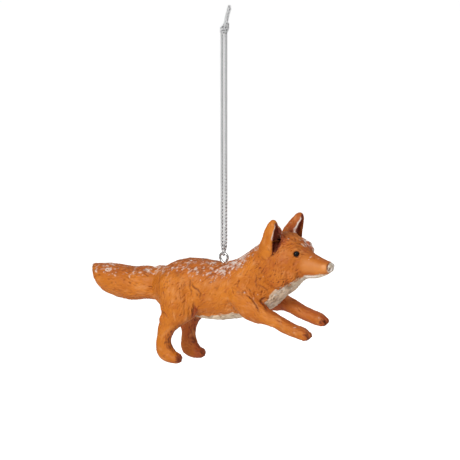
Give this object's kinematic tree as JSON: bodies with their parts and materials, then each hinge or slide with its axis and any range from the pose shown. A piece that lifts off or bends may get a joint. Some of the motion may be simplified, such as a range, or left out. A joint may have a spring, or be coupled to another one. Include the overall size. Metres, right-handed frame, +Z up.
{
  "type": "fox figurine",
  "caption": "Leaping fox ornament in painted resin with bead eyes, hung from a screw eye in its back by a knotted loop of silver cord on which it swings and turns.",
  "frame": {"origin": "the hanging point, inside the top of the cord's loop and right under its knot", "axes": "+X towards the fox's nose, +Y to the fox's left, +Z up along the hanging cord"},
  "size_m": [0.1171, 0.0282, 0.159],
  "materials": {
    "painted_resin": "hand-painted satin, orange-brown with a cream bib and frosted highlights",
    "eye_black": "polished black bead",
    "dowel": "plain dowel",
    "nickel": "bright nickel-plated wire",
    "silver_cord": "braided silver cord"
  },
  "bodies": {
    "hanger": {"cord_knot": "silver_cord", "cord_tails": "silver_cord", "cord_strands": "silver_cord"},
    "cord_foot": {"cord_foot": "silver_cord"},
    "fox": {"trunk": "painted_resin", "head": "painted_resin", "right_ear": "painted_resin", "left_ear": "painted_resin", "tail": "painted_resin", "right_front_leg": "painted_resin", "left_front_leg": "painted_resin", "right_hind_leg": "painted_resin", "left_hind_leg": "painted_resin", "right_eye": "eye_black", "left_eye": "eye_black", "neck_peg": "dowel", "tail_peg": "dowel", "right_front_leg_peg": "dowel", "left_front_leg_peg": "dowel", "right_hind_leg_peg": "dowel", "left_hind_leg_peg": "dowel", "screw_eye": "nickel"}
  },
  "joints": [
    {"name": "cord_twist", "type": "hinge", "parent": "hanger", "child": "cord_foot", "pos_m": [0, 0, -0.0985], "axis": [0, 0, 1], "range_deg": [-110, 110], "stiffness_Nm_per_rad": 0.00001},
    {"name": "fox_swing", "type": "hinge", "parent": "cord_foot", "child": "fox", "pos_m": [0, 0, -0.0985], "axis": [0.0872, 0.9962, 0], "range_deg": [-45, 60]}
  ]
}
